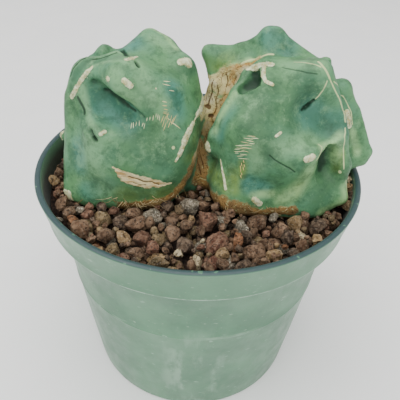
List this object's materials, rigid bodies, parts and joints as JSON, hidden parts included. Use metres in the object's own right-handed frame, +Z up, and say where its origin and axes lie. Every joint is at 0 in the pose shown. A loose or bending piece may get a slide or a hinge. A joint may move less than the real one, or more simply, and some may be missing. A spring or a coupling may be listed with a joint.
{
  "type": "potted blue barrel cactus",
  "caption": "Spineless, lumpy blue-green barrel cactus with joined heads, rooted in lava grit in a thin tapered plastic nursery pot.",
  "frame": {"origin": "centre of the pot's flat base, on the face that the pot stands on", "axes": "+Z up along the pot's axis, +X towards the head with the thin fins, -Y towards the front of the picture"},
  "size_m": [0.1074, 0.105, 0.1222],
  "materials": {
    "pot_plastic": "thin, slightly translucent grey-green plastic with fine scuffs and a darker rim edge",
    "lava_grit": "porous brown-red lava grains with some grey and cream stones",
    "cactus_skin": "blue-green skin with a pale waxy bloom, cream woolly areoles and brown cork"
  },
  "bodies": {
    "root": {"pot": "pot_plastic", "soil": "lava_grit", "cactus": "cactus_skin"}
  },
  "joints": []
}
